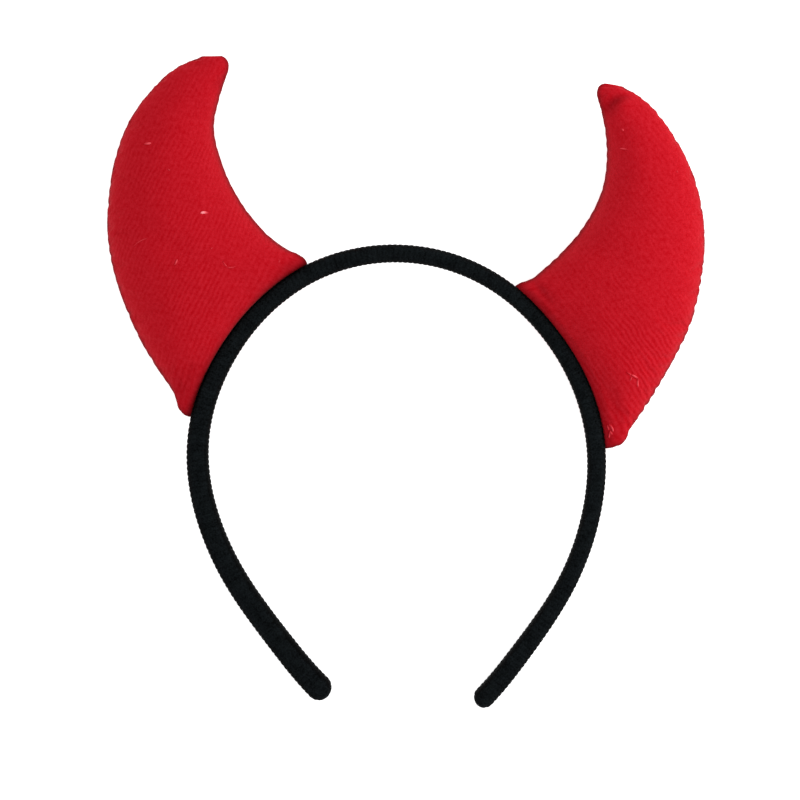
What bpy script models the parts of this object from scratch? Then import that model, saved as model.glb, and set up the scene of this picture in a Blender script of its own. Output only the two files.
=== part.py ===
"""Devil horns headband, lying on its back on a flat surface.

A cloth-wrapped band bends round the head space. A stuffed cloth horn is sewn to
its outer face on each side. +Y runs from the band's open ends to the horns'
tips, +X to the right as seen from above, and +Z up off the surface.

The sizes in the tables are millimetres in the band's own plane, measured from
the middle of the head space. The whole thing is then leaned back, because the
horns are thicker than the band, and set down so that its box stands on Z = 0.
"""
from collections import namedtuple
import math

import bpy
import numpy as np

MM = 0.001

# The band: its path round the head space, seen from above. The angle is in
# degrees from the top, with the left side negative, and the first and last rows
# are the tips of its two legs.
BandRow = namedtuple("BandRow", "angle radius thickness")
BAND_ROWS = (
    BandRow(-164.2, 78.5, 7.9),
    BandRow(-150.0, 69.7, 7.5),
    BandRow(-130.0, 63.7, 7.3),
    BandRow(-110.0, 61.7, 7.0),
    BandRow(-90.0, 61.2, 6.7),
    BandRow(-60.0, 60.0, 6.2),
    BandRow(-30.0, 60.3, 5.9),
    BandRow(0.0, 60.2, 5.5),
    BandRow(30.0, 59.3, 5.4),
    BandRow(50.0, 58.7, 5.3),
    BandRow(70.0, 59.4, 5.7),
    BandRow(90.0, 60.7, 5.7),
    BandRow(110.0, 62.6, 5.6),
    BandRow(130.0, 66.3, 5.7),
    BandRow(150.0, 73.4, 6.2),
    BandRow(162.7, 81.8, 6.4),
)
BAND_WIDTH = 10.0
BAND_SQUARENESS = 2.8
BAND_SIDES = 14
BAND_RINGS = 84
PATH_STEPS = 900
END_RINGS = 5
END_LAST_ANGLE = math.radians(78.0)

# The horns: one row for each section above the band, up to the tip. Inner is the
# edge towards the other horn, outer is the edge away from it, and depth is the
# stuffed thickness at the middle of the section.
HornRow = namedtuple("HornRow", "inner_x inner_y outer_x outer_y depth")
LEFT_HORN = (
    HornRow(-28.3, 58.5, -65.1, 10.8, 14.0),
    HornRow(-29.9, 59.7, -67.0, 13.0, 16.0),
    HornRow(-32.0, 60.7, -68.0, 16.4, 18.3),
    HornRow(-34.5, 61.9, -70.1, 20.2, 20.5),
    HornRow(-39.8, 66.0, -76.0, 29.1, 24.5),
    HornRow(-45.7, 72.8, -82.2, 41.6, 28.0),
    HornRow(-50.7, 80.9, -87.2, 57.0, 29.5),
    HornRow(-54.1, 89.4, -88.5, 71.8, 28.0),
    HornRow(-55.9, 98.2, -86.3, 88.1, 24.5),
    HornRow(-54.7, 105.6, -80.7, 102.1, 20.0),
    HornRow(-52.9, 111.8, -72.3, 112.5, 15.0),
    HornRow(-51.4, 116.4, -66.6, 116.9, 10.0),
    HornRow(-52.0, 119.1, -62.5, 118.8, 6.5),
    HornRow(-53.5, 120.2, -59.4, 120.1, 3.0),
)
RIGHT_HORN = (
    HornRow(37.4, 51.3, 67.4, 1.4, 14.0),
    HornRow(39.0, 51.8, 69.7, 3.5, 16.0),
    HornRow(40.9, 52.5, 70.7, 6.0, 18.3),
    HornRow(42.7, 53.8, 72.6, 8.8, 20.5),
    HornRow(46.8, 57.5, 77.5, 16.0, 24.5),
    HornRow(53.0, 63.7, 83.0, 25.6, 28.0),
    HornRow(58.6, 71.5, 88.9, 37.4, 29.5),
    HornRow(62.3, 79.7, 92.5, 51.5, 28.5),
    HornRow(63.6, 88.2, 93.5, 66.4, 26.0),
    HornRow(63.3, 96.0, 90.7, 82.0, 22.0),
    HornRow(62.2, 102.6, 84.3, 95.3, 17.5),
    HornRow(60.8, 107.9, 77.1, 104.7, 12.0),
    HornRow(60.9, 110.6, 71.2, 109.2, 7.0),
    HornRow(62.7, 112.0, 67.7, 111.1, 3.0),
)
HORN_BASE_DEPTH = 12.0
# Where each horn's base starts and ends on the band, as the band's own angle.
LEFT_SEAT = (-25.8, -80.8)
RIGHT_SEAT = (35.4, 89.5)
SEAT_GAP = 0.3
SEAT_REACH = 0.5
HORN_FULLNESS = 0.8
HORN_RING = 32
HORN_SECTIONS = 36

# Edges where the faces turn by more than this are kept sharp.
SHARP_ANGLE = math.radians(50.0)

# How the thing lies: the band's plane rises towards the horns.
LEAN = math.radians(3.0)

# Colours as linear red, green and blue.
HORN_RED = (0.52, 0.012, 0.018, 1.0)
BAND_BLACK = (0.008, 0.008, 0.009, 1.0)
HORN_ROUGHNESS = 0.95
BAND_ROUGHNESS = 0.85


def smooth_through(at, values, where):
    """Natural cubic spline: passes through every value, with no bend at its ends."""
    at = np.asarray(at, dtype=float)
    values = np.asarray(values, dtype=float)
    step = np.diff(at)
    slope = np.diff(values) / step
    system = np.eye(len(at))
    target = np.zeros(len(at))
    for i in range(1, len(at) - 1):
        system[i, i - 1:i + 2] = (step[i - 1], 2 * (step[i - 1] + step[i]), step[i])
        target[i] = 6 * (slope[i] - slope[i - 1])
    bend = np.linalg.solve(system, target)
    where = np.asarray(where, dtype=float)
    i = np.clip(np.searchsorted(at, where) - 1, 0, len(at) - 2)
    left = where - at[i]
    right = at[i + 1] - where
    width = step[i]
    return (bend[i] * right ** 3 + bend[i + 1] * left ** 3) / (6 * width) \
        + (values[i] / width - bend[i] * width / 6) * right \
        + (values[i + 1] / width - bend[i + 1] * width / 6) * left


def column(rows, name):
    """One named column of a table."""
    return [getattr(row, name) for row in rows]


def band_at(angle):
    """Centre of the band at an angle, with its thickness there."""
    angles = column(BAND_ROWS, "angle")
    radius = smooth_through(angles, column(BAND_ROWS, "radius"), angle)
    thickness = smooth_through(angles, column(BAND_ROWS, "thickness"), angle)
    turn = np.radians(angle)
    return radius * np.sin(turn), radius * np.cos(turn), thickness


def band_path():
    """The band's path with even steps, as places, outward directions and sizes.

    The sections near each tip are set closer, and shrink by the same amount all
    round, so that each leg ends in a rounded edge.
    """
    fine = np.linspace(BAND_ROWS[0].angle, BAND_ROWS[-1].angle, PATH_STEPS)
    x, y, thickness = band_at(fine)
    run = np.concatenate(([0.0], np.cumsum(np.hypot(np.diff(x), np.diff(y)))))
    start_round = thickness[0] / 2
    end_round = thickness[-1] / 2
    turn = np.linspace(END_LAST_ANGLE, 0.0, END_RINGS, endpoint=False)
    middle = np.linspace(start_round, run[-1] - end_round, BAND_RINGS)
    along = np.concatenate((
        start_round * (1 - np.sin(turn)),
        middle,
        run[-1] - end_round * (1 - np.sin(turn[::-1])),
    ))
    shrink = np.concatenate((
        start_round * (1 - np.cos(turn)),
        np.zeros(BAND_RINGS),
        end_round * (1 - np.cos(turn[::-1])),
    ))
    tangent_x = np.interp(along, run, np.gradient(x, run))
    tangent_y = np.interp(along, run, np.gradient(y, run))
    length = np.hypot(tangent_x, tangent_y)
    place = np.stack((np.interp(along, run, x), np.interp(along, run, y)), axis=1)
    outward = np.stack((-tangent_y / length, tangent_x / length), axis=1)
    return place, outward, np.interp(along, run, thickness), shrink


def band_points():
    """Rings of points round the band, each a rounded oblong."""
    place, outward, thickness, shrink = band_path()
    turn = np.linspace(0.0, 2 * math.pi, BAND_SIDES, endpoint=False)
    power = 2 / BAND_SQUARENESS
    across = np.sign(np.cos(turn)) * np.abs(np.cos(turn)) ** power
    up = np.sign(np.sin(turn)) * np.abs(np.sin(turn)) ** power
    half_thick = (thickness / 2 - shrink)[:, None] * across
    half_wide = (BAND_WIDTH / 2 - shrink)[:, None] * up
    x = place[:, 0, None] + outward[:, 0, None] * half_thick
    y = place[:, 1, None] + outward[:, 1, None] * half_thick
    return np.stack((x, y, half_wide), axis=2)


def seat_at(angle):
    """A point on a horn's base, clear of the band's outer face."""
    x, y, thickness = band_at(angle)
    reach = 1 + (thickness / 2 + SEAT_GAP) / np.hypot(x, y)
    return x * reach, y * reach


def horn_points(rows, seat):
    """Rings of points round a horn, from its base on the band to its tip.

    Each section runs from the inner edge to the outer edge and back underneath,
    full in the middle and closed at the two seams. The base follows the band's
    outer face, and the sections above it straighten out. A horn on the left runs
    round the other way, so that its faces point out too.
    """
    inner, outer = seat_at(seat[0]), seat_at(seat[1])
    rows = (HornRow(*inner, *outer, HORN_BASE_DEPTH), *rows)
    along = np.linspace(0.0, 1.0, len(rows))
    level = np.linspace(0.0, 1.0, HORN_SECTIONS)
    edge = {
        name: smooth_through(along, column(rows, name), level)[:, None]
        for name in HornRow._fields
    }
    turn = np.linspace(0.0, 2 * math.pi, HORN_RING, endpoint=False)
    across = (1 - np.cos(turn)) / 2
    x = edge["inner_x"] + (edge["outer_x"] - edge["inner_x"]) * across
    y = edge["inner_y"] + (edge["outer_y"] - edge["inner_y"]) * across
    seat_x, seat_y = seat_at(seat[0] + (seat[1] - seat[0]) * across)
    fade = np.clip(1 - level / SEAT_REACH, 0.0, 1.0)[:, None] ** 2
    x = x + fade * (seat_x - x[0])
    y = y + fade * (seat_y - y[0])
    swell = np.sign(np.sin(turn)) * np.abs(np.sin(turn)) ** HORN_FULLNESS
    way = np.sign(seat[1] - seat[0])
    return np.stack((x, y, way * edge["depth"] / 2 * swell), axis=2)


def lean_back(points):
    """Turn the band's plane about X, so that its top end is raised."""
    x, y, up = points[..., 0], points[..., 1], points[..., 2]
    return np.stack((
        x,
        y * math.cos(LEAN) - up * math.sin(LEAN),
        y * math.sin(LEAN) + up * math.cos(LEAN),
    ), axis=-1)


def lay_down(pieces):
    """Set the pieces on Z = 0, with the middle of their box over the origin.

    The band's leg tips touch the surface, and the horns' soft backs are pressed
    flat on it.
    """
    leaned = {name: lean_back(points) for name, points in pieces.items()}
    floor = leaned["band"][..., 2].min()
    places = np.concatenate([points.reshape(-1, 3) for points in leaned.values()])
    middle = (places.min(axis=0) + places.max(axis=0)) / 2
    origin = np.array((middle[0], middle[1], floor))
    laid = {}
    for name, points in leaned.items():
        set_down = points - origin
        set_down[..., 2] = np.maximum(set_down[..., 2], 0.0)
        laid[name] = set_down * MM
    return laid


def make_material(name, colour, roughness):
    """A plain dull material."""
    material = bpy.data.materials.new(name)
    material.use_nodes = True
    shader = material.node_tree.nodes["Principled BSDF"]
    shader.inputs["Base Color"].default_value = colour
    shader.inputs["Roughness"].default_value = roughness
    shader.inputs["Metallic"].default_value = 0.0
    return material


def cap_faces(ring):
    """Narrow faces across a ring of points, so that a curved end stays curved."""
    half = len(ring) // 2
    near = ring[:half + 1]
    far = ring[:1] + ring[:half - 1:-1]
    corners = zip(near, near[1:], far[1:], far)
    return [list(dict.fromkeys(four)) for four in corners]


def make_tube(name, rings, material):
    """A closed body through rings of points, with a cap on each end."""
    count, sides = rings.shape[:2]
    index = np.arange(count * sides).reshape(count, sides)
    turned = np.roll(index, -1, axis=1)
    walls = np.stack((index[:-1], turned[:-1], turned[1:], index[1:]), axis=-1)
    faces = walls.reshape(-1, 4).tolist()
    faces += [face[::-1] for face in cap_faces(index[0].tolist())]
    faces += cap_faces(index[-1].tolist())
    mesh = bpy.data.meshes.new(name)
    mesh.from_pydata(rings.reshape(-1, 3).tolist(), [], faces)
    mesh.validate()
    mesh.shade_smooth()
    mesh.set_sharp_from_angle(angle=SHARP_ANGLE)
    mesh.materials.append(material)
    piece = bpy.data.objects.new(name, mesh)
    bpy.context.scene.collection.objects.link(piece)
    return piece


def make_headband():
    """The band and its two horns, as three separate bodies."""
    for old in list(bpy.data.objects):
        bpy.data.objects.remove(old)
    pieces = lay_down({
        "band": band_points(),
        "left_horn": horn_points(LEFT_HORN, LEFT_SEAT),
        "right_horn": horn_points(RIGHT_HORN, RIGHT_SEAT),
    })
    red_cloth = make_material("red_cloth", HORN_RED, HORN_ROUGHNESS)
    black_cloth = make_material("black_cloth", BAND_BLACK, BAND_ROUGHNESS)
    make_tube("band", pieces["band"], black_cloth)
    make_tube("left_horn", pieces["left_horn"], red_cloth)
    make_tube("right_horn", pieces["right_horn"], red_cloth)


make_headband()
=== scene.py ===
"""Looks of the devil horns headband, laid over its fixed frame.

The file is laid out as a Blender add-on and is run as a script. Each operator makes
one piece or group of like pieces: the ribbed cloth band, the two stuffed horns, the
lint caught in their nap, and the stage that they lie on.

The tables hold millimetres in the band's own plane, measured from the middle of the
head space, as the part's source does. lie_down then leans that plane back and sets it
where the frame's band lies.
"""
from collections import namedtuple
import math

import bpy
from bpy.props import FloatProperty, FloatVectorProperty, IntProperty, PointerProperty
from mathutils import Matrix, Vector
from mathutils.bvhtree import BVHTree
import numpy as np


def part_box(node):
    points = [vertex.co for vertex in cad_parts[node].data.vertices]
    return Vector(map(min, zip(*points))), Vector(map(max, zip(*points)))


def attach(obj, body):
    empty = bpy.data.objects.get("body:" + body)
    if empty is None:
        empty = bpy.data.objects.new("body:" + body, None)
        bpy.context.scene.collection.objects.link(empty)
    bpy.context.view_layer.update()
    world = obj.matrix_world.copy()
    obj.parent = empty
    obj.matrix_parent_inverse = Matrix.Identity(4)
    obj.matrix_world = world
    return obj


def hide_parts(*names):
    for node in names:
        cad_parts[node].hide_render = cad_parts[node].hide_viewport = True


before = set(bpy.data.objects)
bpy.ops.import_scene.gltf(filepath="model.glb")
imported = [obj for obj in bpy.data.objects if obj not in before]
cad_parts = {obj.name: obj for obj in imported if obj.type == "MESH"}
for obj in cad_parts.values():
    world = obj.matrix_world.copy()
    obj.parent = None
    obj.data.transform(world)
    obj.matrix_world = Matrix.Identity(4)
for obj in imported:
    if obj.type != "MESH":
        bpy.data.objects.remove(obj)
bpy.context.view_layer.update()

bl_info = {
    "name": "Devil horns headband",
    "version": (1, 0, 0),
    "blender": (4, 5, 0),
    "location": "View3D > Sidebar > Headband",
    "description": "Builds a cloth-wrapped headband with two stuffed horns",
    "category": "Add Mesh",
}

BODY = "root"
MM = 0.001

# The horns are thicker than the band, so the band's plane leans back by this much.
LEAN = math.radians(3.0)

# The band's path round the head space. The angle is in degrees from the top, with the
# left side negative, and the first and last rows are the tips of its two legs.
BandRow = namedtuple("BandRow", "angle radius thickness")
BAND_ROWS = (
    BandRow(-164.2, 78.5, 7.9),
    BandRow(-150.0, 69.7, 7.5),
    BandRow(-130.0, 63.7, 7.3),
    BandRow(-110.0, 61.7, 7.0),
    BandRow(-90.0, 61.2, 6.7),
    BandRow(-60.0, 60.0, 6.2),
    BandRow(-30.0, 60.3, 5.9),
    BandRow(0.0, 60.2, 5.5),
    BandRow(30.0, 59.3, 5.4),
    BandRow(50.0, 58.7, 5.3),
    BandRow(70.0, 59.4, 5.7),
    BandRow(90.0, 60.7, 5.7),
    BandRow(110.0, 62.6, 5.6),
    BandRow(130.0, 66.3, 5.7),
    BandRow(150.0, 73.4, 6.2),
    BandRow(162.7, 81.8, 6.4),
)

# The band's width, how square its section is, how many points go round it and along
# its path, how many rings make a rib and a rounded end, how far round that end they
# reach, and the power that makes the ribs broad.
BAND_WIDTH = 10.0
BAND_SQUARENESS = 2.8
BAND_SIDES = 36
PATH_POINTS = 1600
RINGS_PER_RIB = 8
END_RINGS = 12
END_TURN = math.radians(84.0)
RIB_POWER = 0.55

# One row for each section of a horn above the band, up to the tip: its edge towards
# the other horn, its edge away from it, and its stuffed thickness.
HornRow = namedtuple("HornRow", "inner_x inner_y outer_x outer_y depth")
LEFT_ROWS = (
    HornRow(-28.3, 58.5, -65.1, 10.8, 14.0),
    HornRow(-29.9, 59.7, -67.0, 13.0, 16.0),
    HornRow(-32.0, 60.7, -68.0, 16.4, 18.3),
    HornRow(-34.5, 61.9, -70.1, 20.2, 20.5),
    HornRow(-39.8, 66.0, -76.0, 29.1, 24.5),
    HornRow(-45.7, 72.8, -82.2, 41.6, 28.0),
    HornRow(-50.7, 80.9, -87.2, 57.0, 29.5),
    HornRow(-54.1, 89.4, -88.5, 71.8, 28.0),
    HornRow(-55.9, 98.2, -86.3, 88.1, 24.5),
    HornRow(-54.7, 105.6, -80.7, 102.1, 20.0),
    HornRow(-52.9, 111.8, -72.3, 112.5, 15.0),
    HornRow(-51.4, 116.4, -66.6, 116.9, 10.0),
    HornRow(-52.0, 119.1, -62.5, 118.8, 6.5),
    HornRow(-53.5, 120.2, -59.4, 120.1, 3.0),
)
RIGHT_ROWS = (
    HornRow(37.4, 51.3, 67.4, 1.4, 14.0),
    HornRow(39.0, 51.8, 69.7, 3.5, 16.0),
    HornRow(40.9, 52.5, 70.7, 6.0, 18.3),
    HornRow(42.7, 53.8, 72.6, 8.8, 20.5),
    HornRow(46.8, 57.5, 77.5, 16.0, 24.5),
    HornRow(53.0, 63.7, 83.0, 25.6, 28.0),
    HornRow(58.6, 71.5, 88.9, 37.4, 29.5),
    HornRow(62.3, 79.7, 92.5, 51.5, 28.5),
    HornRow(63.6, 88.2, 93.5, 66.4, 26.0),
    HornRow(63.3, 96.0, 90.7, 82.0, 22.0),
    HornRow(62.2, 102.6, 84.3, 95.3, 17.5),
    HornRow(60.8, 107.9, 77.1, 104.7, 12.0),
    HornRow(60.9, 110.6, 71.2, 109.2, 7.0),
    HornRow(62.7, 112.0, 67.7, 111.1, 3.0),
)

# A horn's thickness at its base, its gap off the band, how far up it bows with the
# band, as a share of its rows, and the power that its sections swell by.
HORN_BASE_DEPTH = 12.0
SEAT_GAP = 0.3
SEAT_REACH = 0.5
HORN_FULLNESS = 0.8

# The hem at a horn's base is rolled under, presses into the band's ribbed cloth, and
# where it stands above the band's rounded shoulder it laps over it.
HEM_ROLL = 0.36
HEM_ROLL_RUN = 2.8
HEM_CLOSE = 0.42
HEM_LAP = 0.4
HEM_RUN = 3.0
SHOULDER_HEIGHT = 0.4 * BAND_WIDTH

# A crease pressed into a horn's face: its middle, heading, half length, half width
# and depth. The heading is in degrees from +X.
Crease = namedtuple("Crease", "x y heading half_length half_width depth")
LEFT_CREASES = (
    Crease(-33.5, 56.2, 35.0, 3.4, 1.0, 0.35),
    Crease(-54.6, 111.9, 60.0, 2.2, 1.2, 0.5),
    Crease(-65.5, 20.5, 56.0, 9.0, 4.5, 0.55),
)
RIGHT_CREASES = (
    Crease(64.5, 104.9, 66.0, 3.2, 2.1, 1.4),
    Crease(66.6, 106.9, 24.0, 2.4, 1.4, 0.95),
    Crease(68.8, 107.6, -6.0, 1.8, 0.7, 0.4),
    Crease(43.6, 49.0, -52.0, 4.2, 1.2, 0.5),
)

# Each horn: its piece's name, the node it replaces, its tables, where its base starts
# and ends on the band as the band's own angle, the heading of its twill, in degrees
# from +X, how plainly the twill shows, where its nap is thinnest and how far that
# reaches, how hard its seam is drawn in, how strong the painted hem shade is, and its seed.
Horn = namedtuple(
    "Horn", "piece node rows creases seat twill plain thin_at thin_reach drawn hem seed")
HORNS = (
    Horn(
        "left_horn_cloth", "left_horn", LEFT_ROWS, LEFT_CREASES, (-25.8, -80.8),
        twill=63.0, plain=0.56, thin_at=(-58.0, 52.0), thin_reach=60.0,
        drawn=0.6, hem=0.8, seed=11),
    Horn(
        "right_horn_cloth", "right_horn", RIGHT_ROWS, RIGHT_CREASES, (35.4, 89.5),
        twill=126.5, plain=0.95, thin_at=(77.0, 24.0), thin_reach=24.0,
        drawn=1.05, hem=0.2, seed=23),
)

# How thin the nap is far from its thinnest place, as a share.
THICK_SHARE = 0.25

# The slack cloth's thickness as a share of the horn's, and how firmly it is held row by
# row above the base while it is stuffed.
SLACK = 0.93
HOLD_FADE = np.linspace(0.9, 0.05, 9)

# The stuffing's lumps: their height, their sizes, how many waves make them, and how far
# from a seam and from the base they reach their full height.
LUMP_HEIGHT = 0.28
LUMP_SIZES = (9.0, 30.0)
LUMP_WAVES = 18
LUMP_INSET = 6.0
BASE_INSET = 3.0

# A stitch's pinch: its width as a share of the stitch, how far it reaches in, and how
# hard the inner seam and the outer seam pull, as shares.
PINCH_WIDTH = 0.26
PUCKER_REACH = 1.3
SEAM_PULLS = (0.6, 1.0)

# Painted shade where the cloth turns into a seam, along the seam's rim and in a crease,
# as shares, with how far that and the painted hem shade reach. The rim's reach is
# measured across the horn, and a crease's share is for each millimetre of its depth.
SEAM_SHADE = 0.45
SEAM_SHADE_REACH = 2.0
RIM_SHADE = 0.42
RIM_REACH = 0.75
HEM_SHADE_REACH = 1.8
CREASE_SHADE = 0.24

# The levels that even spacing is worked out from, the grid that is stuffed by
# simulation, and the fine grid that is kept.
TRIAL_LEVELS = 400
STUFFED_LEVELS = 96
STUFFED_RING = 72
FINE_LEVELS = 300
FINE_RING = 112

# Lint caught in the nap: where the camera sees each fibre's middle, in millimetres from
# its axis at the view plane's height, the fibre's heading in degrees, its length, how
# far it bends from end to end, its width, how pale it is, and where along it that is
# palest, from -1 at its start to 1 at its end.
Fibre = namedtuple("Fibre", "x y heading length bend width pale head")
LEFT_LINT = (
    Fibre(-77.0, 78.2, 6.0, 2.3, 10.0, 0.66, 0.42, 0.4),
    Fibre(-70.4, 70.2, -43.0, 0.8, 0.0, 0.34, 0.16, 0.0),
    Fibre(-59.6, 57.1, 0.0, 2.5, -40.0, 0.76, 1.00, -0.4),
    Fibre(-79.4, 48.2, 33.0, 5.2, -35.0, 0.30, 0.13, 0.3),
    Fibre(-68.3, 42.0, 63.0, 2.1, 35.0, 0.50, 0.28, 0.3),
    Fibre(-57.4, 46.3, 20.0, 0.8, 0.0, 0.32, 0.13, 0.0),
    Fibre(-53.4, 41.5, -56.0, 2.1, 20.0, 0.38, 0.14, 0.5),
    Fibre(-51.2, 40.5, 8.0, 2.6, 20.0, 0.38, 0.13, -0.3),
    Fibre(-36.8, 42.3, 68.0, 1.1, 0.0, 0.34, 0.13, 0.0),
)
RIGHT_LINT = (
    Fibre(68.0, 82.4, -60.0, 0.9, 0.0, 0.52, 0.22, 0.0),
    Fibre(68.2, 76.6, -9.0, 2.5, -8.0, 0.44, 0.20, -0.2),
    Fibre(84.6, 69.7, 80.0, 0.7, 0.0, 0.32, 0.13, 0.0),
    Fibre(57.8, 53.2, 70.0, 1.1, 0.0, 0.34, 0.13, 0.0),
    Fibre(69.9, 8.1, -32.0, 1.7, 0.0, 0.42, 0.12, 0.5),
    Fibre(71.6, 7.2, -28.0, 2.2, -25.0, 0.54, 0.34, 0.0),
    Fibre(72.6, 5.2, -91.0, 2.5, 12.0, 0.50, 0.30, 0.2),
    Fibre(70.5, 6.5, -107.0, 1.5, 0.0, 0.42, 0.16, 0.0),
    Fibre(64.5, -8.4, -57.0, 2.8, -65.0, 0.56, 0.30, 0.5),
    Fibre(63.5, -8.5, -74.0, 1.7, 0.0, 0.56, 0.15, 0.0),
    Fibre(64.4, -10.0, -60.0, 1.4, 0.0, 0.54, 0.17, 0.0),
    Fibre(63.9, -10.6, -101.0, 2.1, 0.0, 0.56, 0.20, 0.5),
)

# A fibre's rings and the points round each, the least square of its thinness, how far
# it is raised as a share of its half width, how far it stays pale as a share of its
# half length, and the pitch of its specks.
FIBRE_RINGS = 14
FIBRE_SIDES = 8
FIBRE_END = 0.06
FIBRE_RISE = 0.3
PALE_REACH = 0.8
SPECK_PITCH = 0.3 * MM

# Where the camera hangs above the headband, and the height that its view is sized at,
# with the width of its sensor, all in millimetres.
CAMERA_AXIS = (-1.85, -5.10)
VIEW_PLANE = 12.0
SENSOR_WIDTH = 36.0

# The soft disk lamps, in metres and watts, and how bright the sky is.
Lamp = namedtuple("Lamp", "name place size energy")
LAMPS = (
    Lamp("key", (0.35, 0.10, 0.25), 0.36, 1.0),
    Lamp("overhead", (0.0, 0.05, 0.8), 0.5, 0.9),
)
SKY_STRENGTH = 0.80

# The floor's half width and level, in metres, how strongly it glows by itself, and its
# grain's pitch and darkest tone.
FLOOR_HALF = 3.0
FLOOR_LEVEL = -0.0002
FLOOR_GLOW = 0.6
GRAIN_PITCH = 60.0 * MM
GRAIN_TONE = 0.99

# The red cloth's fine unevenness: the pitch of each kind, in metres, then how strongly
# it shows in the cloth's tone. The twill's lines wander by up to about their pitch, and
# the nap is everywhere worn by at least a share.
WANDER_PITCH = 6.0 * MM
NAP_PITCH = 0.5 * MM
FUZZ_PITCH = 1.3 * MM
MOTTLE_PITCH = 4.5 * MM
PATCH_PITCH = 14.0 * MM
NAP_SHOWS = 1.4
FUZZ_SHOWS = 1.8
MOTTLE_SHOWS = 0.4
TWILL_WANDER = 1.2
LEAST_WORN = 0.4
RED_BUMP = 0.14 * MM
# How dark the painted shade at the seams, hem and creases gets, as a share of the colour
# between the twill lines.
PAINTED_SHADE_TONE = 0.12
SHEEN_ROUGHNESS = 0.45

# The black cloth's, in the same way, with how dark and how light its threads get as
# multiples of its colour.
THREAD_PITCH = 0.34 * MM
BLOOM_PITCH = 3.0 * MM
RIB_SHOWS = 0.1
THREAD_NAP_SHOWS = 2.4
BLOOM_SHOWS = 0.8
# How strongly shade is painted on the band's faces that look sideways.
FLANK_SHADE_SHOWS = 0.8
BLACK_BUMP = 0.08 * MM
DARK_THREAD = 0.1
LIGHT_THREAD = 3.0


class BandSettings(bpy.types.PropertyGroup):
    """What a user would change on the band."""
    colour: FloatVectorProperty(
        name="Colour", description="Colour of the wrapped cloth", subtype="COLOR",
        default=(0.0030, 0.0040, 0.0045), min=0.0, max=1.0)
    rib_pitch: FloatProperty(
        name="Rib pitch", description="Distance from one rib of the cloth to the next",
        default=1.6 * MM, min=0.5 * MM, unit="LENGTH")
    rib_height: FloatProperty(
        name="Rib height", description="How deep the groove between two ribs is",
        default=0.22 * MM, min=0.0, unit="LENGTH")


class HornSettings(bpy.types.PropertyGroup):
    """What a user would change on the horns."""
    colour: FloatVectorProperty(
        name="Colour", description="Colour of the brushed cloth", subtype="COLOR",
        default=(0.465, 0.0100, 0.0190), min=0.0, max=1.0)
    shade: FloatVectorProperty(
        name="Shade", description="Colour between the cloth's twill lines", subtype="COLOR",
        default=(0.390, 0.0022, 0.0068), min=0.0, max=1.0)
    twill_pitch: FloatProperty(
        name="Twill pitch", description="Distance from one twill line to the next",
        default=1.40 * MM, min=0.2 * MM, unit="LENGTH")
    pressure: FloatProperty(
        name="Stuffing", description="How hard the stuffing presses on the cloth",
        default=2500.0, min=0.0)
    ease: FloatProperty(
        name="Ease", description="Spare cloth, as a share of its length", subtype="FACTOR",
        default=0.012, min=0.0, max=0.1)
    swell_cap: FloatProperty(
        name="Swell cap", description="The furthest that the stuffing may push the cloth",
        default=2.2 * MM, min=0.0, unit="LENGTH")
    pucker_pitch: FloatProperty(
        name="Stitch length", description="Distance from one seam pucker to the next",
        default=3.1 * MM, min=0.5 * MM, unit="LENGTH")
    pucker_depth: FloatProperty(
        name="Pucker depth", description="How far a stitch pulls the cloth in",
        default=0.45 * MM, min=0.0, unit="LENGTH")
    frames: IntProperty(
        name="Frames", description="Frames of the stuffing simulation", default=24, min=2)


class StageSettings(bpy.types.PropertyGroup):
    """What a user would change on the stage."""
    floor_colour: FloatVectorProperty(
        name="Floor", description="Colour of the floor", subtype="COLOR",
        default=(0.92, 0.92, 0.92), min=0.0, max=1.0)
    camera_height: FloatProperty(
        name="Camera height", description="How far above the floor the camera hangs",
        default=1.0, min=0.3, unit="LENGTH")
    view_width: FloatProperty(
        name="View width", description="Width of the view at the headband",
        default=0.244, min=0.05, unit="LENGTH")


def smooth_through(at, values, where):
    """Natural cubic spline through rows of values, with no bend at its ends.

    Between two rows the curve is the cubic whose bend runs evenly from one row's to
    the next's, and the bends are solved so that its slope never jumps.
    """
    at = np.asarray(at, dtype=float)
    values = np.asarray(values, dtype=float)
    rows = values.reshape(len(at), -1)
    step = np.diff(at)
    slope = np.diff(rows, axis=0) / step[:, None]
    system = np.eye(len(at))
    inside = np.arange(1, len(at) - 1)
    system[inside, inside - 1] = step[:-1]
    system[inside, inside] = 2 * (step[:-1] + step[1:])
    system[inside, inside + 1] = step[1:]
    target = np.zeros_like(rows)
    target[1:-1] = 6 * np.diff(slope, axis=0)
    bend = np.linalg.solve(system, target)
    where = np.asarray(where, dtype=float)
    i = np.clip(np.searchsorted(at, where.ravel()) - 1, 0, len(at) - 2)
    left = (where.ravel() - at[i])[:, None]
    right = (at[i + 1] - where.ravel())[:, None]
    width = step[i][:, None]
    curve = (bend[i] * right ** 3 + bend[i + 1] * left ** 3) / (6 * width) \
        + (rows[i] / width - bend[i] * width / 6) * right \
        + (rows[i + 1] / width - bend[i + 1] * width / 6) * left
    return curve.reshape(where.shape + values.shape[1:])


def column(rows, name):
    """One named column of a table."""
    return [getattr(row, name) for row in rows]


def run_along(points, axis):
    """Distance travelled along one axis of a grid of points, from its first row."""
    steps = np.linalg.norm(np.diff(points, axis=axis), axis=-1)
    start = np.zeros_like(np.take(steps, [0], axis=axis))
    return np.concatenate((start, np.cumsum(steps, axis=axis)), axis=axis)


def band_at(angle):
    """Centre of the band at an angle, with its thickness there."""
    angles = column(BAND_ROWS, "angle")
    radius = smooth_through(angles, column(BAND_ROWS, "radius"), angle)
    thickness = smooth_through(angles, column(BAND_ROWS, "thickness"), angle)
    turn = np.radians(angle)
    return radius * np.sin(turn), radius * np.cos(turn), thickness


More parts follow.
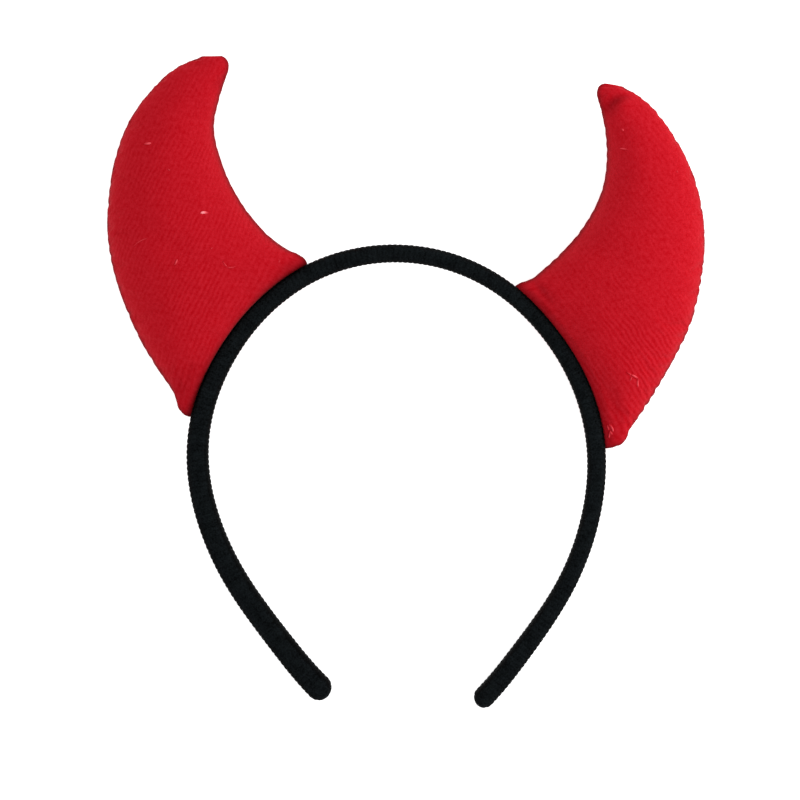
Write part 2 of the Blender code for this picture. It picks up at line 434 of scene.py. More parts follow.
def seat_at(angle):
    """A point on a horn's base, clear of the band's outer face."""
    x, y, thickness = band_at(angle)
    reach = 1 + (thickness / 2 + SEAT_GAP) / np.hypot(x, y)
    return np.stack((x * reach, y * reach), axis=-1)


def band_shift():
    """The move, in millimetres, that sets the leaned band on the frame's band."""
    points = lean_back(band_rings(rib_pitch=2.0, rib_height=0.0, rings_per_rib=1)[0])
    low = points.reshape(-1, 3).min(axis=0)
    return np.array(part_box("band")[0]) / MM - low


def lean_back(points):
    """Turn the band's plane about X, so that its top end is raised."""
    x, y, up = points[..., 0], points[..., 1], points[..., 2]
    return np.stack((
        x,
        y * math.cos(LEAN) - up * math.sin(LEAN),
        y * math.sin(LEAN) + up * math.cos(LEAN),
    ), axis=-1)


def camera_place(settings):
    """Where the camera's lens is, in metres."""
    return Vector((CAMERA_AXIS[0] * MM, CAMERA_AXIS[1] * MM, settings.camera_height))


def lie_down(points):
    """Points of the band's plane where they lie in the frame, in metres.

    What would sink into the surface is pressed flat on it.
    """
    laid = (lean_back(points) + band_shift()) * MM
    laid[..., 2] = np.maximum(laid[..., 2], 0.0)
    return laid


def band_rings(rib_pitch, rib_height, rings_per_rib):
    """Rings of points round the ribbed band, with each ring's run along it.

    A rounded oblong is carried along the path. A rib is the half wave
    abs(sin(pi * run / pitch)) to a low power, so that ribs are broad and the grooves
    between them narrow, and it stands as far out as it cuts in. Near a tip the oblong
    shrinks all round by r * (1 - cos(t)) while it runs r * (1 - sin(t)) from the tip,
    which rounds the end.
    """
    fine = np.linspace(BAND_ROWS[0].angle, BAND_ROWS[-1].angle, PATH_POINTS)
    x, y, thickness = band_at(fine)
    path = np.stack((x, y), axis=1)
    run = run_along(path, 0)
    start_round, end_round = thickness[0] / 2, thickness[-1] / 2
    count = int((run[-1] - start_round - end_round) / rib_pitch * rings_per_rib)
    turn = np.linspace(END_TURN, 0.0, END_RINGS, endpoint=False)
    along = np.concatenate((
        start_round * (1 - np.sin(turn)),
        np.linspace(start_round, run[-1] - end_round, count),
        run[-1] - end_round * (1 - np.sin(turn[::-1])),
    ))
    shrink = np.concatenate((
        start_round * (1 - np.cos(turn)),
        np.zeros(count),
        end_round * (1 - np.cos(turn[::-1])),
    ))
    rib = np.abs(np.sin(math.pi * along / rib_pitch)) ** RIB_POWER
    shrink = shrink + rib_height * (rib.mean() - rib)
    tangent = np.gradient(path, run, axis=0)
    outward = np.stack((-tangent[:, 1], tangent[:, 0]), axis=1)
    outward /= np.linalg.norm(outward, axis=1)[:, None]
    place = np.stack([np.interp(along, run, path[:, i]) for i in range(2)], axis=1)
    outward = np.stack([np.interp(along, run, outward[:, i]) for i in range(2)], axis=1)
    thick = np.interp(along, run, thickness)
    turn = np.linspace(0.0, 2 * math.pi, BAND_SIDES, endpoint=False)
    power = 2 / BAND_SQUARENESS
    across = np.sign(np.cos(turn)) * np.abs(np.cos(turn)) ** power
    up = np.sign(np.sin(turn)) * np.abs(np.sin(turn)) ** power
    half_thick = (thick / 2 - shrink)[:, None] * across
    half_wide = (BAND_WIDTH / 2 - shrink)[:, None] * up
    flat = place[:, None, :] + outward[:, None, :] * half_thick[:, :, None]
    return np.concatenate((flat, half_wide[:, :, None]), axis=2), along


def horn_rings(horn, level, turn):
    """Rings of points round a horn: level runs from the base to the tip, turn round it.

    Each section runs straight from its inner edge at turn 0 to its outer edge at turn
    pi, placed by (1 - cos(turn)) / 2, and swells by sin(turn) to a power. The lowest
    sections bow to follow the band's outer face. A horn on the left swells the other
    way first, so that its faces point out too.
    """
    base = HornRow(*seat_at(horn.seat[0]), *seat_at(horn.seat[1]), HORN_BASE_DEPTH)
    rows = np.array((base, *horn.rows))
    section = smooth_through(np.linspace(0.0, 1.0, len(rows)), rows, level)[:, None, :]
    across = ((1 - np.cos(turn)) / 2)[None, :, None]
    inner, outer = section[..., 0:2], section[..., 2:4]
    flat = inner + (outer - inner) * across
    seat = seat_at(horn.seat[0] + (horn.seat[1] - horn.seat[0]) * across[..., 0])
    fade = np.clip(1 - level / SEAT_REACH, 0.0, 1.0)[:, None, None] ** 2
    flat = flat + fade * (seat - flat[:1])
    swell = np.sign(np.sin(turn)) * np.abs(np.sin(turn)) ** HORN_FULLNESS
    way = np.sign(horn.seat[1] - horn.seat[0])
    up = way * section[..., 4:5] / 2 * swell[None, :, None]
    return np.concatenate((flat, up), axis=2)


def even_levels(horn, count):
    """Levels that are evenly spaced along a horn's middle and outer edge."""
    level = np.linspace(0.0, 1.0, TRIAL_LEVELS)
    points = horn_rings(horn, level, np.array((math.pi / 2, math.pi)))
    run = run_along(points, 0).mean(axis=1)
    return np.interp(np.linspace(0.0, run[-1], count), run, level)


def cap_faces(ring):
    """Narrow faces across a ring of points, so that a curved end stays curved."""
    half = len(ring) // 2
    near = ring[:half + 1]
    far = ring[:1] + ring[:half - 1:-1]
    corners = zip(near, near[1:], far[1:], far)
    return [list(dict.fromkeys(four)) for four in corners]


def tube_faces(count, sides):
    """Faces of a closed tube of rings: its walls as an array, and its two caps."""
    index = np.arange(count * sides).reshape(count, sides)
    turned = np.roll(index, -1, axis=1)
    walls = np.stack((index[:-1], turned[:-1], turned[1:], index[1:]), axis=-1)
    caps = [face[::-1] for face in cap_faces(index[0].tolist())]
    caps += cap_faces(index[-1].tolist())
    return walls.reshape(-1, 4), caps


def tube_mesh(name, rings, weave=None):
    """A mesh through rings of points, closed at both ends.

    weave holds the cloth's own coordinates for the four corners of each wall face, in
    metres, as count - 1 by sides by 4 by 2.
    """
    count, sides = rings.shape[:2]
    walls, caps = tube_faces(count, sides)
    mesh = bpy.data.meshes.new(name)
    mesh.from_pydata(rings.reshape(-1, 3).tolist(), [], walls.tolist() + caps)
    if weave is not None:
        layer = mesh.uv_layers.new(name="weave")
        corners = np.zeros((len(mesh.loops), 2))
        corners[:walls.size] = weave.reshape(-1, 2)
        layer.data.foreach_set("uv", corners.ravel().astype(np.float32))
    mesh.shade_smooth()
    mesh.update()
    return mesh


def add_piece(name, mesh, material):
    """An object at the origin with its material."""
    mesh.materials.append(material)
    piece = bpy.data.objects.new(name, mesh)
    bpy.context.scene.collection.objects.link(piece)
    return piece


def add_values(mesh, name, values):
    """Give a mesh one value for each of its points, for its material to read."""
    layer = mesh.attributes.new(name, "FLOAT", "POINT")
    layer.data.foreach_set("value", np.asarray(values).ravel().astype(np.float32))


def corner_values(values, closed):
    """Values at the corners of each wall face, with those that close each ring."""
    ahead = np.roll(values, -1, axis=1)
    ahead[:, -1] = closed
    return np.stack((values[:-1], ahead[:-1], ahead[1:], values[1:]), axis=2)


def stuff_by_simulation(rings, settings):
    """The rings after Blender's cloth has been pressed out from inside, in metres.

    The seams and the base are held. The cloth has a little spare length, and no point
    may end further from its start than the cap.
    """
    count, sides = rings.shape[:2]
    mesh = tube_mesh("stuffing", rings)
    pad = bpy.data.objects.new("stuffing", mesh)
    bpy.context.scene.collection.objects.link(pad)
    index = np.arange(count * sides).reshape(count, sides)
    held = pad.vertex_groups.new(name="held")
    held.add(index[:, (0, sides // 2)].ravel().tolist(), 1.0, "REPLACE")
    for row in (0, 1, -1):
        held.add(index[row].tolist(), 1.0, "REPLACE")
    for row, weight in enumerate(HOLD_FADE, start=2):
        held.add(index[row, 1:sides // 2].tolist(), float(weight), "REPLACE")
        held.add(index[row, sides // 2 + 1:].tolist(), float(weight), "REPLACE")
    cloth = pad.modifiers.new("cloth", "CLOTH")
    cloth.point_cache.frame_start = 1
    cloth.point_cache.frame_end = settings.frames
    cloth.settings.quality = 6
    cloth.settings.mass = 0.3
    cloth.settings.tension_stiffness = 15.0
    cloth.settings.compression_stiffness = 15.0
    cloth.settings.shear_stiffness = 5.0
    cloth.settings.bending_stiffness = 0.3
    cloth.settings.vertex_group_mass = "held"
    cloth.settings.shrink_min = -settings.ease
    cloth.settings.use_pressure = True
    cloth.settings.uniform_pressure_force = settings.pressure
    cloth.settings.effector_weights.gravity = 0.0
    for step in range(1, settings.frames + 1):
        bpy.context.scene.frame_set(step)
    posed = pad.evaluated_get(bpy.context.evaluated_depsgraph_get())
    final = posed.to_mesh()
    places = np.empty(len(final.vertices) * 3)
    final.vertices.foreach_get("co", places)
    posed.to_mesh_clear()
    bpy.data.objects.remove(pad)
    bpy.data.meshes.remove(mesh)
    bpy.context.scene.frame_set(1)
    moved = places.reshape(rings.shape) - rings
    length = np.linalg.norm(moved, axis=2, keepdims=True)
    return rings + moved * np.minimum(1.0, settings.swell_cap / np.maximum(length, 1e-9))


def finer_rings(rings, level, fine_level, fine_sides):
    """Rings read through smooth curves at more levels and more points.

    Each half of a ring, from one seam to the other, is a curve of its own, so that
    the seams stay sharp.
    """
    sides = rings.shape[1]
    rings = smooth_through(level, rings, fine_level)
    turn = np.linspace(0.0, 1.0, sides // 2 + 1)
    fine_turn = np.linspace(0.0, 1.0, fine_sides // 2 + 1)
    front = rings[:, :sides // 2 + 1].swapaxes(0, 1)
    back = np.concatenate((rings[:, sides // 2:], rings[:, :1]), axis=1).swapaxes(0, 1)
    front = smooth_through(turn, front, fine_turn).swapaxes(0, 1)
    back = smooth_through(turn, back, fine_turn).swapaxes(0, 1)
    return np.concatenate((front[:, :-1], back[:, :-1]), axis=1)


def outward_normals(rings):
    """Unit normals of a grid of rings, from its neighbours along and round it."""
    along = np.gradient(rings, axis=0)
    around = np.roll(rings, -1, axis=1) - np.roll(rings, 1, axis=1)
    normal = np.cross(around, along)
    return normal / np.maximum(np.linalg.norm(normal, axis=2, keepdims=True), 1e-9)


def lumps(points, seed):
    """Smooth unevenness between about -1 and 1: a sum of seeded cosines in space."""
    random = np.random.default_rng(seed)
    heading = random.normal(size=(LUMP_WAVES, 3))
    heading /= np.linalg.norm(heading, axis=1)[:, None]
    pitch = random.uniform(*LUMP_SIZES, LUMP_WAVES)
    phase = random.uniform(0.0, 2 * math.pi, LUMP_WAVES)
    angle = points @ (heading / pitch[:, None] * 2 * math.pi).T + phase
    return np.cos(angle).sum(axis=-1) / math.sqrt(2 * LUMP_WAVES)


def seam_distance(rings):
    """Distance of each point from the nearer seam, round its ring."""
    half = rings.shape[1] // 2
    front = run_along(rings[:, :half + 1], 1)
    back = run_along(np.concatenate((rings[:, half:], rings[:, :1]), axis=1), 1)
    front = np.minimum(front, front[:, -1:] - front)
    back = np.minimum(back, back[:, -1:] - back)
    return np.concatenate((front[:, :-1], back[:, :-1]), axis=1)


def pucker(rings, settings, seed):
    """How far each point is pulled in by the seam, in millimetres.

    A stitch pinches the cloth once each pitch, as a narrow bell along the seam that
    fades away from it. Each stitch pulls with a seeded strength of its own. The cloth
    between the stitches stands out by as much as the pinches draw it in.
    """
    half = rings.shape[1] // 2
    distance = seam_distance(rings)
    pitch = settings.pucker_pitch / MM
    random = np.random.default_rng(seed)
    pull = np.zeros(rings.shape[:2])
    columns = np.arange(rings.shape[1])
    for seam, share in zip((0, half), SEAM_PULLS):
        run = run_along(rings[:, seam], 0)
        stitch = run / pitch
        nearest = np.round(stitch).astype(int)
        strength = random.uniform(0.0, 1.0, int(stitch[-1]) + 2)[nearest]
        pinch = np.exp(-((stitch - nearest) / PINCH_WIDTH) ** 2) * strength
        near = np.abs((columns - seam + half) % (2 * half) - half) <= half // 2
        pull += share * (pinch - pinch.mean())[:, None] * near
    return settings.pucker_depth / MM * pull * np.exp(-distance / PUCKER_REACH)


def crease_depth(rings, horn):
    """How deep each point lies in the creases of the face that looks up.

    A crease is a bell along and across its heading.
    """
    depth = np.zeros(rings.shape[:2])
    for crease in horn.creases:
        heading = math.radians(crease.heading)
        dx = rings[..., 0] - crease.x
        dy = rings[..., 1] - crease.y
        along = dx * math.cos(heading) + dy * math.sin(heading)
        aside = dy * math.cos(heading) - dx * math.sin(heading)
        bell = np.exp(-(along / crease.half_length) ** 2 - (aside / crease.half_width) ** 2)
        depth += crease.depth * bell * (rings[..., 2] > 0)
    return depth


def roll_hem(rings):
    """The rings with the hem rolled under at the base."""
    rings = rings.copy()
    roll = np.clip(1 - run_along(rings, 0) / HEM_ROLL_RUN, 0.0, 1.0) ** 2
    rings[..., 2] *= 1 - HEM_ROLL * roll
    return rings


def painted_shade(rings, creases, horn):
    """How much shade is painted into the cloth, from 0 to 1.

    The seam's painted shade is a bell of the distance from it round the ring, and the
    rim's a bell of that distance across the horn. The hem's fades with the run from the
    base, a crease's grows with its depth, and the light that each leaves is multiplied.
    """
    half = rings.shape[1] // 2
    plan = rings[..., :2]
    inset = np.minimum(
        np.linalg.norm(plan - plan[:, :1], axis=2),
        np.linalg.norm(plan - plan[:, half:half + 1], axis=2))
    seam = SEAM_SHADE * np.exp(-(seam_distance(rings) / SEAM_SHADE_REACH) ** 2)
    rim = RIM_SHADE * np.exp(-(inset / RIM_REACH) ** 2)
    hem = horn.hem * np.exp(-run_along(rings, 0) / HEM_SHADE_REACH)
    crease = np.clip(CREASE_SHADE * creases, 0.0, 1.0)
    return 1 - (1 - seam) * (1 - rim) * (1 - hem) * (1 - crease)


def thinned(rings, horn):
    """How thin the nap is: a bell round its thinnest place, over an even share."""
    away = np.linalg.norm(rings[..., :2] - horn.thin_at, axis=2)
    return THICK_SHARE + (1 - THICK_SHARE) * np.exp(-(away / horn.thin_reach) ** 2)


def close_hem(rings):
    """The rings with the hem drawn in against the band and lapped over its shoulder.

    Each point near the base moves towards the middle of the head space, by the close
    plus the lap times the square of its height, and less with the run from the base.
    """
    rings = rings.copy()
    fade = np.clip(1 - run_along(rings, 0) / HEM_RUN, 0.0, 1.0) ** 2
    height = np.clip(np.abs(rings[..., 2]) / SHOULDER_HEIGHT, 0.0, 1.0) ** 2
    pull = (HEM_CLOSE + HEM_LAP * height) * fade
    rings[..., :2] *= 1 - (pull / np.linalg.norm(rings[..., :2], axis=2))[..., None]
    return rings


def weave_coordinates(rings):
    """The cloth's own coordinates at every face corner: each panel laid out flat.

    A point lies off its section's middle by its distance round the ring, in the
    section's own direction, so that the weave keeps its pitch down the horn's sides.
    """
    half = rings.shape[1] // 2
    back = np.concatenate((rings[:, half:], rings[:, :1]), axis=1)
    panels = []
    for panel in (rings[:, :half + 1], back):
        run = run_along(panel, 1)
        middle = panel[:, half // 2, :2]
        aside = run - run[:, half // 2:half // 2 + 1]
        heading = panel[:, -1, :2] - panel[:, 0, :2]
        heading /= np.linalg.norm(heading, axis=1)[:, None]
        flat = middle[:, None, :] + aside[:, :, None] * heading[:, None, :]
        panels.append(corner_values(flat[:, :-1], closed=flat[:, -1]))
    return np.concatenate(panels, axis=1) * MM


class Wire:
    """A node's output in a material, which Python's operators turn into Math nodes."""

    def __init__(self, tree, socket=None):
        self.tree = tree
        self.socket = socket

    def node(self, kind, settings, inputs, output=0):
        """Add a node, set it, then join or set its inputs, and give one output."""
        node = self.tree.nodes.new(kind)
        stops = settings.pop("stops", ())
        for name, value in settings.items():
            setattr(node, name, value)
        for position, colour in stops:
            ramp = node.color_ramp.elements
            ends = {0.0: ramp[0], 1.0: ramp[-1]}
            stop = ends[position] if position in ends else ramp.new(position)
            stop.color = colour
        for name, value in inputs.items():
            if isinstance(value, Wire):
                self.tree.links.new(value.socket, node.inputs[name])
            else:
                node.inputs[name].default_value = value
        return Wire(self.tree, node.outputs[output])

    def maths(self, operation, *values):
        """A Math node on values."""
        return self.node("ShaderNodeMath", {"operation": operation}, dict(enumerate(values)))

    def __add__(self, other):
        return self.maths("ADD", self, other)

    def __mul__(self, other):
        return self.maths("MULTIPLY", self, other)

    def __sub__(self, other):
        return self.maths("SUBTRACT", self, other)

    def __rsub__(self, other):
        return self.maths("SUBTRACT", other, self)

    def __truediv__(self, other):
        return self.maths("DIVIDE", self, other)

    __radd__ = __add__
    __rmul__ = __mul__

    def blend(self, low, high):
        """Colour that runs from low to high as this value runs from 0 to 1."""
        return self.node(
            "ShaderNodeMix", {"data_type": "RGBA", "clamp_factor": True},
            {0: self, 6: low, 7: high}, output=2)

    def limited(self, low, high):
        """This value spread from 0 at low to 1 at high, with soft ends."""
        return self.node(
            "ShaderNodeMapRange", {"interpolation_type": "SMOOTHSTEP"},
            {"Value": self, "From Min": low, "From Max": high})


def noise(wire, where, pitch, detail=2.0, roughness=0.5):
    """Noise whose lumps are about one pitch across, in metres."""
    return wire.node(
        "ShaderNodeTexNoise", {"noise_dimensions": "3D"},
        {"Vector": where, "Scale": 1.0 / pitch, "Detail": detail, "Roughness": roughness})


def new_material(
        name, colour, roughness, specular=0.0, sheen=0.0, sheen_tint=(1.0, 1.0, 1.0)):
    """A cloth material with its constant sockets set, its wire and its shader."""
    material = bpy.data.materials.new(name)
    material.use_nodes = True
    shader = material.node_tree.nodes["Principled BSDF"]
    shader.inputs["Base Color"].default_value = (*colour, 1.0)
    shader.inputs["Roughness"].default_value = roughness
    shader.inputs["Specular IOR Level"].default_value = specular
    shader.inputs["Sheen Weight"].default_value = sheen
    shader.inputs["Sheen Roughness"].default_value = SHEEN_ROUGHNESS
    shader.inputs["Sheen Tint"].default_value = (*sheen_tint, 1.0)
    return material, Wire(material.node_tree), shader


def feed(shader, name, wire):
    """Join a wire to one of the shader's inputs."""
    wire.tree.links.new(wire.socket, shader.inputs[name])


def bumped(wire, height, distance):
    """A normal from a height that runs from 0 to 1 over a distance in metres."""
    return wire.node(
        "ShaderNodeBump", {}, {"Height": height, "Distance": distance, "Strength": 1.0})


def red_cloth(horn, settings):
    """Brushed twill: fine slanting lines, half hidden by a mottled nap, with painted shade."""
    material, wire, shader = new_material(
        "red_cloth_" + horn.node, settings.colour, roughness=0.95, specular=0.02,
        sheen=0.08, sheen_tint=(1.0, 0.35, 0.4))
    weave = wire.node("ShaderNodeUVMap", {"uv_map": "weave"}, {})
    parts = {"Vector": weave}
    across = wire.node("ShaderNodeSeparateXYZ", {}, parts, output=0)
    along = wire.node("ShaderNodeSeparateXYZ", {}, parts, output=1)
    heading = math.radians(horn.twill)
    wander = noise(wire, weave, WANDER_PITCH, detail=1.0)
    slant = along * math.cos(heading) - across * math.sin(heading)
    line = (slant / settings.twill_pitch + wander * TWILL_WANDER) * (2 * math.pi)
    twill = line.maths("SINE", line) * 0.5 + 0.5
    nap = noise(wire, weave, NAP_PITCH, roughness=0.6)
    fuzz = noise(wire, weave, FUZZ_PITCH, roughness=0.6)
    mottle = noise(wire, weave, MOTTLE_PITCH)
    patch = noise(wire, weave, PATCH_PITCH, detail=1.0).limited(0.35, 0.65)
    thin = wire.node("ShaderNodeAttribute", {"attribute_name": "thin"}, {}, output=2)
    worn = (LEAST_WORN + (1 - LEAST_WORN) * patch) * thin
    tone = 0.5 + (twill - 0.5) * worn * horn.plain + (nap - 0.5) * NAP_SHOWS \
        + (fuzz - 0.5) * FUZZ_SHOWS + (mottle - 0.5) * MOTTLE_SHOWS
    cloth = tone.blend((*settings.shade, 1.0), (*settings.colour, 1.0))
    # Painted shade: the cloth is darkened at its seams, along their rim, at its hem and in its
    # creases.
    tuck = wire.node("ShaderNodeAttribute", {"attribute_name": "tuck"}, {}, output=2)
    dark = tuple(channel * PAINTED_SHADE_TONE for channel in settings.shade)
    feed(shader, "Base Color", tuck.blend(cloth, (*dark, 1.0)))
    feed(shader, "Normal", bumped(wire, twill * worn * 0.3 + nap * 0.7, RED_BUMP))
    return material


def black_cloth(settings):
    """Ribbed black cloth: fine threads run over the ribs, with a dull bloom and painted shade
    on its flanks.
    """
    material, wire, shader = new_material(
        "black_cloth", settings.colour, roughness=0.9, specular=0.02)
    weave = wire.node("ShaderNodeUVMap", {"uv_map": "weave"}, {})
    parts = {"Vector": weave}
    along = wire.node("ShaderNodeSeparateXYZ", {}, parts, output=0)
    around = wire.node("ShaderNodeSeparateXYZ", {}, parts, output=1)
    thread = around * (2 * math.pi / THREAD_PITCH)
    thread = thread.maths("SINE", thread) * 0.5 + 0.5
    rib = along * (math.pi / settings.rib_pitch)
    rib = rib.maths("SINE", rib)
    rib = rib.maths("ABSOLUTE", rib)
    nap = noise(wire, weave, NAP_PITCH, detail=3.0, roughness=0.7)
    bloom = noise(wire, weave, BLOOM_PITCH)
    # Painted shade: the band's faces that look sideways are darkened.
    flank = wire.node("ShaderNodeAttribute", {"attribute_name": "flank"}, {}, output=2)
    tone = 0.4 + (rib - 0.6) * RIB_SHOWS + (nap - 0.5) * THREAD_NAP_SHOWS \
        + (bloom - 0.5) * BLOOM_SHOWS - flank * FLANK_SHADE_SHOWS
    dark = tuple(channel * DARK_THREAD for channel in settings.colour)
    light = tuple(channel * LIGHT_THREAD for channel in settings.colour)
    feed(shader, "Base Color", tone.blend((*dark, 1.0), (*light, 1.0)))
    feed(shader, "Roughness", 0.65 + 0.25 * nap)
    feed(shader, "Normal", bumped(wire, thread * 0.4 + nap * 0.6, BLACK_BUMP))
    return material


def lint_material(settings):
    """Pale fibres, coloured from the cloth's red to pale as their attribute says."""
    material, wire, shader = new_material("lint", settings.colour, roughness=0.9)
    pale = wire.node("ShaderNodeAttribute", {"attribute_name": "pale"}, {}, output=2)
    place = wire.node("ShaderNodeTexCoord", {}, {}, output=3)
    speck = noise(wire, place, SPECK_PITCH, detail=1.0)
    stops = (
        (0.0, (*settings.colour, 1.0)),
        (0.5, (0.82, 0.095, 0.120, 1.0)),
        (1.0, (0.92, 0.300, 0.320, 1.0)),
    )
    tone = pale * (0.8 + 0.4 * speck)
    feed(shader, "Base Color", wire.node("ShaderNodeValToRGB", {"stops": stops}, {"Fac": tone}))
    return material


def floor_material(settings):
    """Plain pale board, with hardly any grain."""
    material, wire, shader = new_material("floor", settings.floor_colour, roughness=0.9)
    place = wire.node("ShaderNodeTexCoord", {}, {}, output=3)
    grain = noise(wire, place, GRAIN_PITCH, detail=1.0)
    low = tuple(channel * GRAIN_TONE for channel in settings.floor_colour)
    feed(shader, "Base Color", grain.blend((*low, 1.0), (*settings.floor_colour, 1.0)))
    shader.inputs["Emission Color"].default_value = (1.0, 1.0, 1.0, 1.0)
    shader.inputs["Emission Strength"].default_value = FLOOR_GLOW
    return material


def fibre_rings(fibre, surface, eye):
    """Rings of points round one fibre: an even arc that thins at both ends.

    The arc turns by its bend from end to end about its middle. Each point is carried
    along the camera's line of sight onto the cloth, and lies half sunk in the nap.
    """
    share = np.linspace(-0.5, 0.5, FIBRE_RINGS)
    heading = np.radians(fibre.heading + fibre.bend * share)
    step = fibre.length / (FIBRE_RINGS - 1)
    x = np.cumsum(np.cos(heading)) * step
    y = np.cumsum(np.sin(heading)) * step
    x = x - x.mean() + fibre.x
    y = y - y.mean() + fibre.y
    seen = np.stack((x, y, np.full(FIBRE_RINGS, VIEW_PLANE)), axis=1) * MM
    seen[:, :2] += np.array(CAMERA_AXIS) * MM
    path = np.array([surface.ray_cast(eye, Vector(place) - eye)[0] for place in seen])
    thin = np.sqrt(np.clip(1 - (2 * share) ** 4, FIBRE_END, 1.0))
    radius = fibre.width / 2 * MM * thin
    path[:, 2] += FIBRE_RISE * radius.max()
    turn = np.linspace(0.0, 2 * math.pi, FIBRE_SIDES, endpoint=False)
    side = np.stack((-np.sin(heading), np.cos(heading), np.zeros(FIBRE_RINGS)), axis=1)
    up = np.array((0.0, 0.0, 1.0))
    circle = side[:, None, :] * np.cos(turn)[None, :, None] + up * np.sin(turn)[None, :, None]
    return path[:, None, :] + circle * radius[:, None, None]


def joined_fibres(name, fibres, surface, eye):
    """One mesh that holds every fibre, with how pale each is as an attribute."""
    walls, caps = tube_faces(FIBRE_RINGS, FIBRE_SIDES)
    shape = walls.tolist() + caps
    points, faces, pale = [], [], []
    for number, fibre in enumerate(fibres):
        points.append(fibre_rings(fibre, surface, eye).reshape(-1, 3))
        start = number * FIBRE_RINGS * FIBRE_SIDES
        faces += [[corner + start for corner in face] for face in shape]
        away = np.linspace(-1.0, 1.0, FIBRE_RINGS) - fibre.head
        paleness = fibre.pale * np.exp(-(away / PALE_REACH) ** 2)
        pale.append(np.repeat(paleness, FIBRE_SIDES))
    mesh = bpy.data.meshes.new(name)
    mesh.from_pydata(np.concatenate(points).tolist(), [], faces)
    add_values(mesh, "pale", np.concatenate(pale))
    mesh.shade_smooth()
    mesh.update()
    return mesh


class HEADBAND_OT_band(bpy.types.Operator):
    """Wrap the band in ribbed black cloth"""
    bl_idname = "headband.band"
    bl_label = "Band"

    def execute(self, context):
        settings = context.scene.headband_band
        rings, along = band_rings(
            settings.rib_pitch / MM, settings.rib_height / MM, RINGS_PER_RIB)
        laid = lie_down(rings)
        around = run_along(np.concatenate((rings, rings[:, :1]), axis=1), 1) * MM
        run = np.broadcast_to(along[:, None] * MM, rings.shape[:2])
        weave = np.stack((
            corner_values(run, closed=run[:, 0]),
            corner_values(around[:, :-1], closed=around[:, -1]),
        ), axis=-1)
        mesh = tube_mesh("band_cloth", laid, weave)
        # Painted shade on the band's faces that look sideways, away from the light above.
        across = np.abs(np.cos(np.linspace(0.0, 2 * math.pi, BAND_SIDES, endpoint=False)))
        flank = np.tile(np.clip(across * 2 - 1, 0.0, 1.0), len(rings))
        add_values(mesh, "flank", flank)
        piece = add_piece("band_cloth", mesh, black_cloth(settings))
        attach(piece, BODY)
        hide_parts("band")
        return {"FINISHED"}


class HEADBAND_OT_horns(bpy.types.Operator):
    """Sew and stuff the two horns"""
    bl_idname = "headband.horns"
    bl_label = "Horns"

    def execute(self, context):
        settings = context.scene.headband_horns
        for horn in HORNS:
            self.make_horn(horn, settings)
        return {"FINISHED"}

    def make_horn(self, horn, settings):
        """One horn: a slack form is stuffed, read finer, and given its sewn details."""
        level = even_levels(horn, STUFFED_LEVELS)
        turn = np.linspace(0.0, 2 * math.pi, STUFFED_RING, endpoint=False)
        rings = horn_rings(horn, level, turn)
        slack = rings * (1.0, 1.0, SLACK)
        rings = stuff_by_simulation(slack * MM, settings) / MM
        level = np.linspace(0.0, 1.0, STUFFED_LEVELS)
        rings = finer_rings(rings, level, np.linspace(0.0, 1.0, FINE_LEVELS), FINE_RING)
        creases = crease_depth(rings, horn)
        rings[..., 2] -= creases
        rings = roll_hem(rings)
        inset = np.clip(seam_distance(rings) / LUMP_INSET, 0.0, 1.0)
        uneven = LUMP_HEIGHT * lumps(rings, horn.seed) * inset
        sewn = horn.drawn * pucker(rings, settings, horn.seed)
        base = np.clip(run_along(rings, 0) / BASE_INSET, 0.0, 1.0)
        rings = rings + outward_normals(rings) * ((uneven - sewn) * base)[..., None]
        rings = close_hem(rings)
        mesh = tube_mesh(horn.piece, lie_down(rings), weave_coordinates(rings))
        # Painted shade for the seams, their rim, the hem and the creases.
        add_values(mesh, "tuck", painted_shade(rings, creases, horn))
        add_values(mesh, "thin", thinned(rings, horn))
        piece = add_piece(horn.piece, mesh, red_cloth(horn, settings))
        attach(piece, BODY)
        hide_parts(horn.node)


class HEADBAND_OT_lint(bpy.types.Operator):
    """Catch pale fibres in the nap of the horns"""
    bl_idname = "headband.lint"
    bl_label = "Lint"

    def execute(self, context):
        material = lint_material(context.scene.headband_horns)
        eye = camera_place(context.scene.headband_stage)
        for horn, fibres in zip(HORNS, (LEFT_LINT, RIGHT_LINT)):
            cloth = bpy.data.objects[horn.piece].data
            surface = BVHTree.FromPolygons(
                [vertex.co for vertex in cloth.vertices],
                [tuple(face.vertices) for face in cloth.polygons])
            name = horn.node + "_lint"
            piece = add_piece(name, joined_fibres(name, fibres, surface, eye), material)
            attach(piece, BODY)
        return {"FINISHED"}


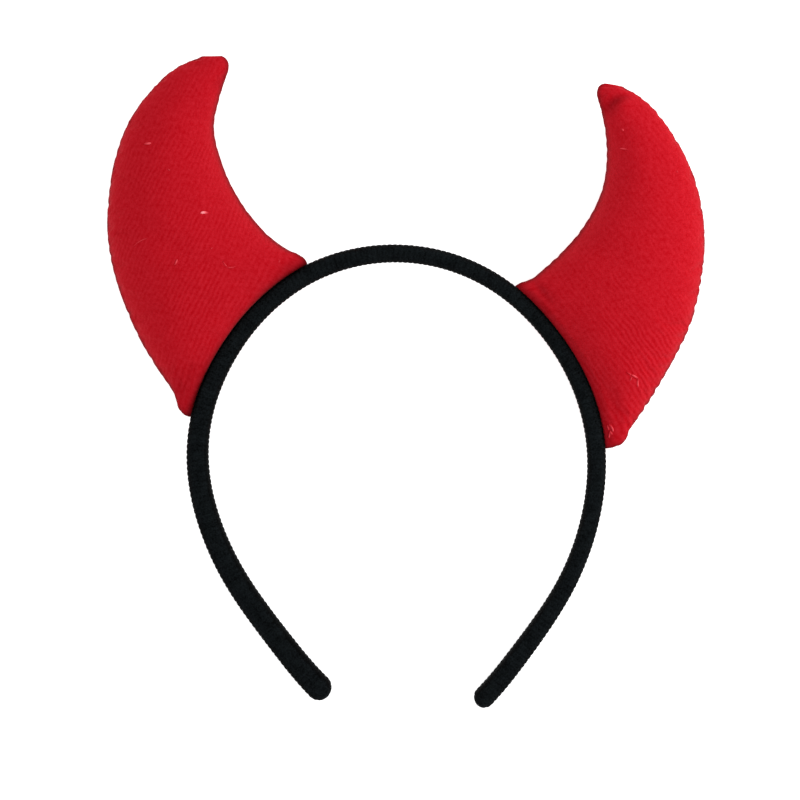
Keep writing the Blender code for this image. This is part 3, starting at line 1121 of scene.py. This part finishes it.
class HEADBAND_OT_stage(bpy.types.Operator):
    """Lay a pale floor, light it softly and hang the camera above"""
    bl_idname = "headband.stage"
    bl_label = "Stage"

    def execute(self, context):
        settings = context.scene.headband_stage
        self.lay_floor(settings)
        self.hang_lights()
        self.hang_camera(context.scene, settings)
        return {"FINISHED"}

    def lay_floor(self, settings):
        """A wide flat floor, a hair below the surface that the horns press on."""
        turns = ((-1, -1), (1, -1), (1, 1), (-1, 1))
        corners = [(x * FLOOR_HALF, y * FLOOR_HALF, FLOOR_LEVEL) for x, y in turns]
        mesh = bpy.data.meshes.new("floor")
        mesh.from_pydata(corners, [], [(0, 1, 2, 3)])
        add_piece("floor", mesh, floor_material(settings))

    def hang_lights(self):
        """A soft key light near the right horn, a soft one overhead, and an even sky."""
        for lamp in LAMPS:
            light = bpy.data.lights.new(lamp.name, "AREA")
            light.shape = "DISK"
            light.size = lamp.size
            light.energy = lamp.energy
            hung = bpy.data.objects.new(lamp.name, light)
            hung.location = lamp.place
            hung.rotation_euler = Vector(lamp.place).to_track_quat("Z", "Y").to_euler()
            bpy.context.scene.collection.objects.link(hung)
        sky = bpy.data.worlds.new("sky")
        sky.use_nodes = True
        background = sky.node_tree.nodes["Background"]
        background.inputs["Color"].default_value = (1.0, 1.0, 1.0, 1.0)
        background.inputs["Strength"].default_value = SKY_STRENGTH
        bpy.context.scene.world = sky

    def hang_camera(self, scene, settings):
        """The camera looks straight down, and frames the headband as the photo does."""
        reach = settings.camera_height - VIEW_PLANE * MM
        camera = bpy.data.cameras.new("camera")
        camera.sensor_width = SENSOR_WIDTH
        camera.lens = camera.sensor_width * reach / settings.view_width
        eye = bpy.data.objects.new("camera", camera)
        eye.location = camera_place(settings)
        scene.collection.objects.link(eye)
        scene.camera = eye
        scene.view_settings.view_transform = "Standard"


class HEADBAND_PT_panel(bpy.types.Panel):
    """The headband's pieces and settings"""
    bl_idname = "HEADBAND_PT_panel"
    bl_label = "Headband"
    bl_space_type = "VIEW_3D"
    bl_region_type = "UI"
    bl_category = "Headband"

    def draw(self, context):
        for name in GROUPS:
            settings = getattr(context.scene, name)
            for key in settings.bl_rna.properties.keys():
                if key not in ("rna_type", "name"):
                    self.layout.prop(settings, key)
        for operator in OPERATORS:
            self.layout.operator(operator.bl_idname)


GROUPS = {
    "headband_band": BandSettings,
    "headband_horns": HornSettings,
    "headband_stage": StageSettings,
}
OPERATORS = (HEADBAND_OT_stage, HEADBAND_OT_band, HEADBAND_OT_horns, HEADBAND_OT_lint)


def register():
    """Register the settings, the operators and the panel."""
    for name, group in GROUPS.items():
        bpy.utils.register_class(group)
        setattr(bpy.types.Scene, name, PointerProperty(type=group))
    for operator in OPERATORS:
        bpy.utils.register_class(operator)
    bpy.utils.register_class(HEADBAND_PT_panel)


def unregister():
    """Take away what register added."""
    bpy.utils.unregister_class(HEADBAND_PT_panel)
    for operator in reversed(OPERATORS):
        bpy.utils.unregister_class(operator)
    for name, group in GROUPS.items():
        delattr(bpy.types.Scene, name)
        bpy.utils.unregister_class(group)


def main():
    """Build everything in order."""
    register()
    bpy.ops.headband.stage()
    bpy.ops.headband.band()
    bpy.ops.headband.horns()
    bpy.ops.headband.lint()


if __name__ == "__main__":
    main()
